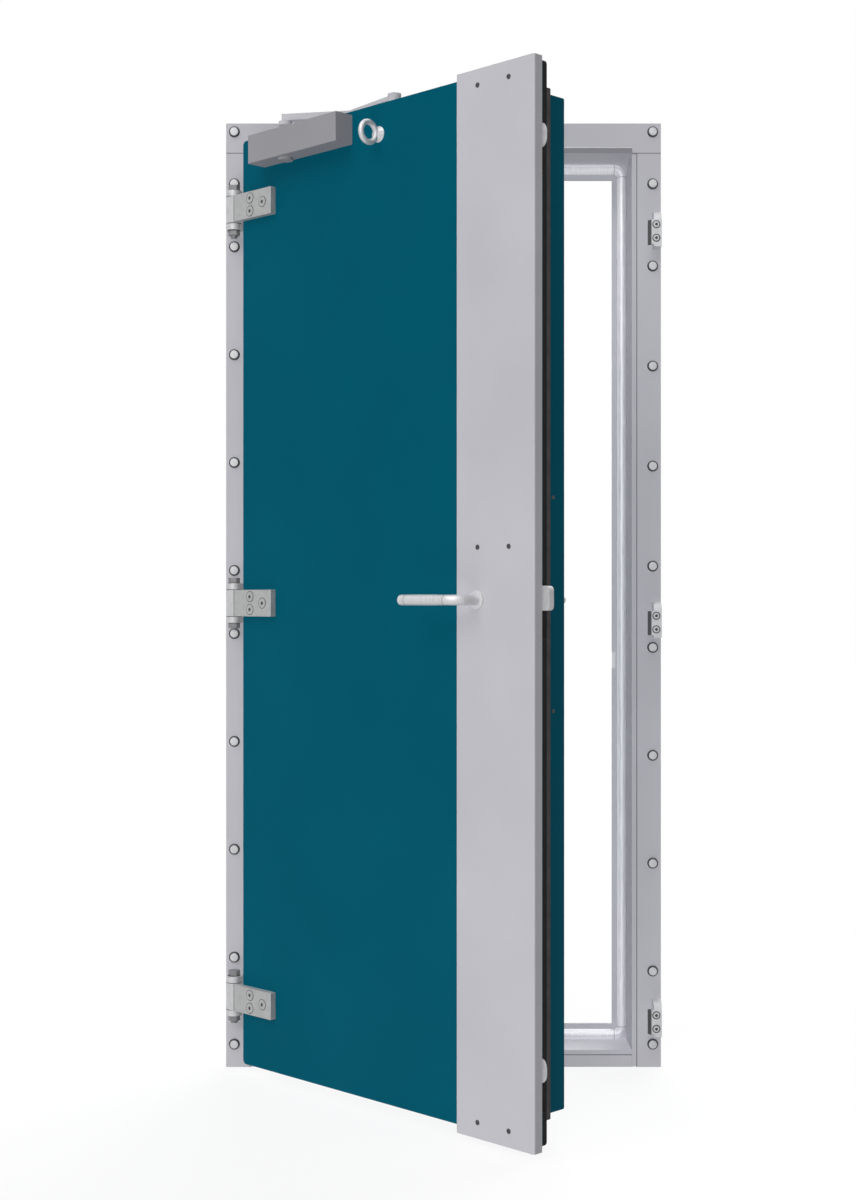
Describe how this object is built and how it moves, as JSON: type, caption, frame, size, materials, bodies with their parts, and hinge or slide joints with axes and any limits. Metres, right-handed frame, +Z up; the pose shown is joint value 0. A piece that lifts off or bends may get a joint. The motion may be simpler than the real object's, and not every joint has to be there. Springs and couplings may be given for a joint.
{
  "type": "steel utility door",
  "caption": "Outward opening steel utility door with a bolted flange frame, lug hinges, door closer, lever handle and a sliding latch bar that locks its edge behind strikes.",
  "frame": {"origin": "on the wall face, behind the middle of the sill's front flange", "axes": "+X to the strike jamb, +Y into the wall, +Z up"},
  "size_m": [1, 0.8354, 2.1716],
  "materials": {
    "leaf_paint": "satin paint",
    "frame_paint": "satin paint",
    "closer_paint": "satin paint",
    "bright_steel": "satin brushed",
    "zinc_steel": "zinc plated",
    "black_rubber": "matt",
    "brown_rubber": "matt"
  },
  "bodies": {
    "frame": {"bead_elbow_head_left": "bright_steel", "bead_elbow_head_right": "bright_steel", "bead_elbow_sill_left": "bright_steel", "bead_elbow_sill_right": "bright_steel", "bead_head": "bright_steel", "bead_left": "bright_steel", "bead_right": "bright_steel", "bead_sill": "bright_steel", "closer_shoe": "closer_paint", "frame_head": "frame_paint", "frame_sill": "frame_paint", "hinge_bracket_bottom": "zinc_steel", "hinge_bracket_middle": "zinc_steel", "hinge_bracket_top": "zinc_steel", "hinge_jamb": "frame_paint", "hinge_pin_bottom": "zinc_steel", "hinge_pin_middle": "zinc_steel", "hinge_pin_top": "zinc_steel", "strike_bottom": "zinc_steel", "strike_jamb": "frame_paint", "strike_middle": "zinc_steel", "strike_top": "zinc_steel"},
    "leaf": {"leaf_panel": "leaf_paint", "edge_seal": "black_rubber", "leaf_box": "leaf_paint", "seat_gasket": "brown_rubber", "latch_cover": "frame_paint", "rose_outer": "bright_steel", "rose_inner": "bright_steel", "closer_body": "closer_paint", "lifting_eye": "bright_steel", "hinge_blade_top": "zinc_steel", "hinge_blade_middle": "zinc_steel", "hinge_blade_bottom": "zinc_steel"},
    "closer_arm": {"closer_arm": "closer_paint", "elbow_pin": "closer_paint"},
    "closer_forearm": {"closer_forearm": "closer_paint"},
    "handle": {"lever": "bright_steel", "handle_spindle": "bright_steel", "inner_handle": "bright_steel"},
    "latch": {"latch_bar": "zinc_steel", "latch_cam_top": "zinc_steel", "latch_cam_middle": "zinc_steel", "latch_cam_bottom": "zinc_steel"}
  },
  "joints": [
    {"name": "leaf_swing", "type": "hinge", "parent": "frame", "child": "leaf", "pos_m": [-0.479, -0.032, 0], "axis": [0, 0, -1], "range_deg": [-45, 75]},
    {"name": "closer_arm_swing", "type": "hinge", "parent": "leaf", "child": "closer_arm", "pos_m": [-0.34836, -0.20118, 0], "axis": [0, 0, -1], "range_deg": [-75, 45]},
    {"name": "closer_forearm_swing", "type": "hinge", "parent": "closer_arm", "child": "closer_forearm", "pos_m": [-0.10836, -0.24618, 0], "axis": [0, 0, -1], "range_deg": [-45, 75]},
    {"name": "handle_turn", "type": "hinge", "parent": "leaf", "child": "handle", "pos_m": [0.05982, -0.60758, 1.06], "axis": [-0.7071, -0.7071, 0], "range_deg": [0, 90]},
    {"name": "latch_slide", "type": "slide", "parent": "leaf", "child": "latch", "axis": [0, 0, -1], "range_m": [0, 0.05]}
  ],
  "couplings": [
    {"joint": "closer_arm_swing", "follows": "leaf_swing", "ratio": -1},
    {"joint": "closer_forearm_swing", "follows": "leaf_swing", "ratio": 1},
    {"joint": "latch_slide", "follows": "handle_turn", "m_per_rad": 0.03183}
  ]
}
